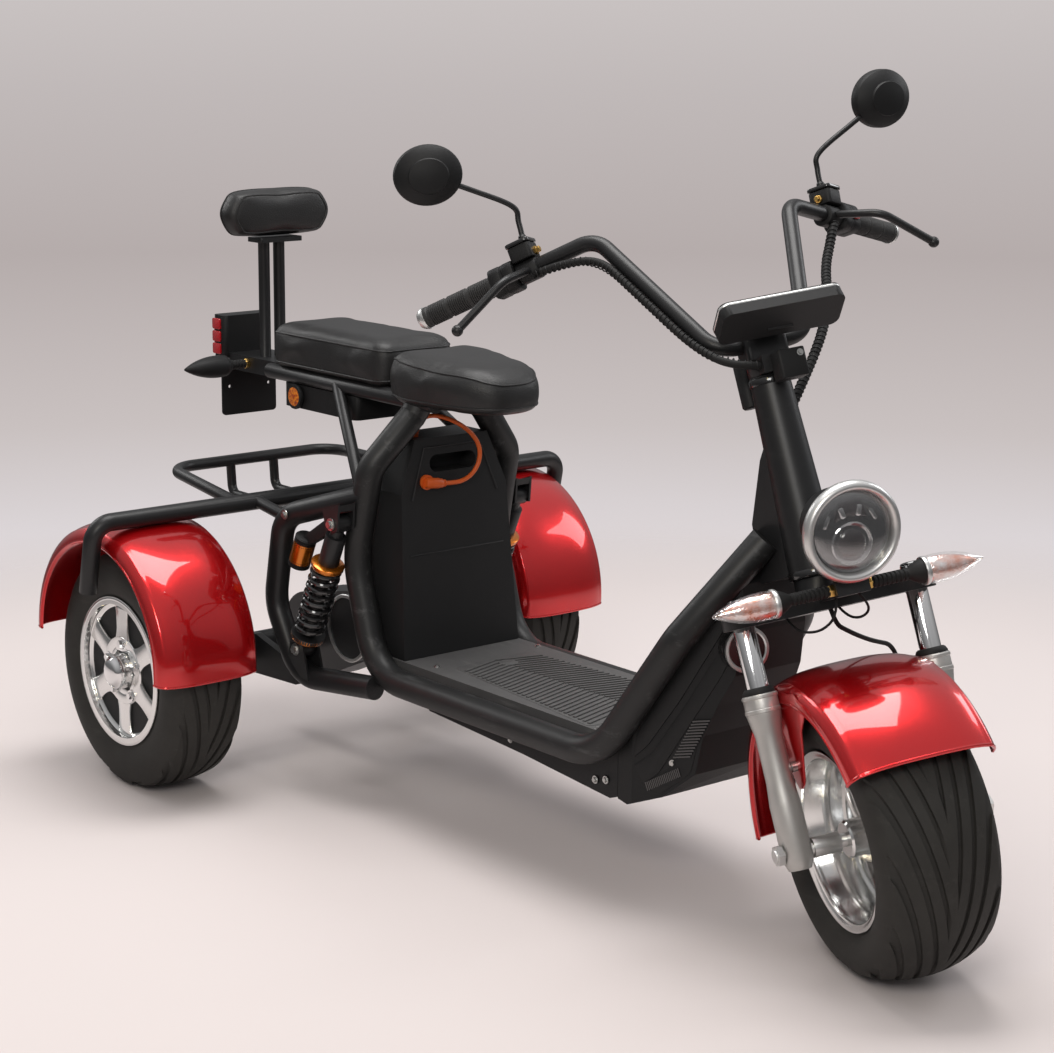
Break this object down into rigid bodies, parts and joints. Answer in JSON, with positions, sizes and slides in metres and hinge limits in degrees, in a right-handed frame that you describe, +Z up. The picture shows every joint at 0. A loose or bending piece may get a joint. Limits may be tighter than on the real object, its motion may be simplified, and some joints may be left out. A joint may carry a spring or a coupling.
{
  "type": "three-wheel electric scooter",
  "caption": "Electric trike scooter with fat front tyre, high swept handlebar, low step-through floor, stepped seat with backrest, red fenders and rear rack",
  "frame": {"origin": "on the floor under the middle of the scooter's box at rest", "axes": "+X forward, +Y left, +Z up"},
  "size_m": [1.9507, 1.088, 1.2886],
  "materials": {
    "tyre_rubber": "matte moulded rubber",
    "polished_alloy": "polished",
    "cast_alloy": "satin cast",
    "black_paint": "satin powder coat",
    "red_paint": "gloss metallic",
    "chrome": "mirror bright",
    "steel": "brushed",
    "gold_alloy": "anodised",
    "black_plastic": "matte",
    "black_gloss": "gloss",
    "mat_rubber": "ribbed",
    "vinyl": "grained",
    "clear_lens": "clear",
    "red_lens": "translucent",
    "amber_lens": "translucent",
    "orange_cover": "smooth",
    "mirror_face": "silvered"
  },
  "bodies": {
    "chassis": {"frame_rail_right": "black_paint", "frame_rail_left": "black_paint", "neck": "black_paint", "rear_loop_right": "black_paint", "rear_loop_left": "black_paint", "rear_hoop": "black_paint", "rear_rack": "black_paint", "seat_frame": "black_paint", "tail_bracket": "black_paint", "plate_holder": "black_paint", "shock_springs": "black_paint", "rear_axle": "black_paint", "rear_fender_right": "red_paint", "rear_fender_left": "red_paint", "horn": "chrome", "shock_dampers": "chrome", "shock_reservoirs": "gold_alloy", "battery": "black_plastic", "belly_box": "black_plastic", "leg_shield": "black_plastic", "seat_box": "black_plastic", "tail_light": "black_gloss", "rear_signals": "black_gloss", "footboard": "mat_rubber", "driver_seat": "vinyl", "pillion_seat": "vinyl", "backrest_pad": "vinyl", "tail_lens": "red_lens", "side_reflectors": "amber_lens", "battery_lead": "orange_cover", "battery_plug": "orange_cover"},
    "steering": {"fork_yoke": "black_paint", "fork_stanchions": "chrome", "fork_lowers": "cast_alloy", "front_axle": "steel", "front_caliper": "steel", "front_fender": "red_paint", "headlight_bowl": "black_plastic", "headlight_bezel": "cast_alloy", "headlight_lens": "clear_lens", "front_signals": "black_plastic", "front_signal_lenses": "clear_lens", "bar_clamp": "black_paint", "handlebar": "black_paint", "grips": "mat_rubber", "bar_ends": "chrome", "bar_controls": "black_plastic", "brake_levers": "black_paint", "mirrors": "black_plastic", "mirror_glass": "mirror_face", "display": "black_plastic", "cable_looms": "mat_rubber"},
    "front_wheel": {"front_tyre": "tyre_rubber", "front_rim": "polished_alloy", "front_brake_disc": "steel"},
    "rear_wheel_right": {"rear_tyre_right": "tyre_rubber", "rear_rim_right": "polished_alloy"},
    "rear_wheel_left": {"rear_tyre_left": "tyre_rubber", "rear_rim_left": "polished_alloy"}
  },
  "joints": [
    {"name": "steering", "type": "hinge", "parent": "chassis", "child": "steering", "pos_m": [0.74274, 0, 0.20913], "axis": [-0.3649, 0, 0.9311], "range_deg": [-17, 63]},
    {"name": "front_wheel_spin", "type": "hinge", "parent": "steering", "child": "front_wheel", "pos_m": [0.7616, -0.0086, 0.21652], "axis": [0.3638, 0.9205, 0.1426], "continuous": true},
    {"name": "rear_wheel_right_spin", "type": "hinge", "parent": "chassis", "child": "rear_wheel_right", "pos_m": [-0.66278, -0.393, 0.217], "axis": [0, 1, 0], "continuous": true},
    {"name": "rear_wheel_left_spin", "type": "hinge", "parent": "chassis", "child": "rear_wheel_left", "pos_m": [-0.66278, 0.393, 0.217], "axis": [0, 1, 0], "continuous": true}
  ]
}
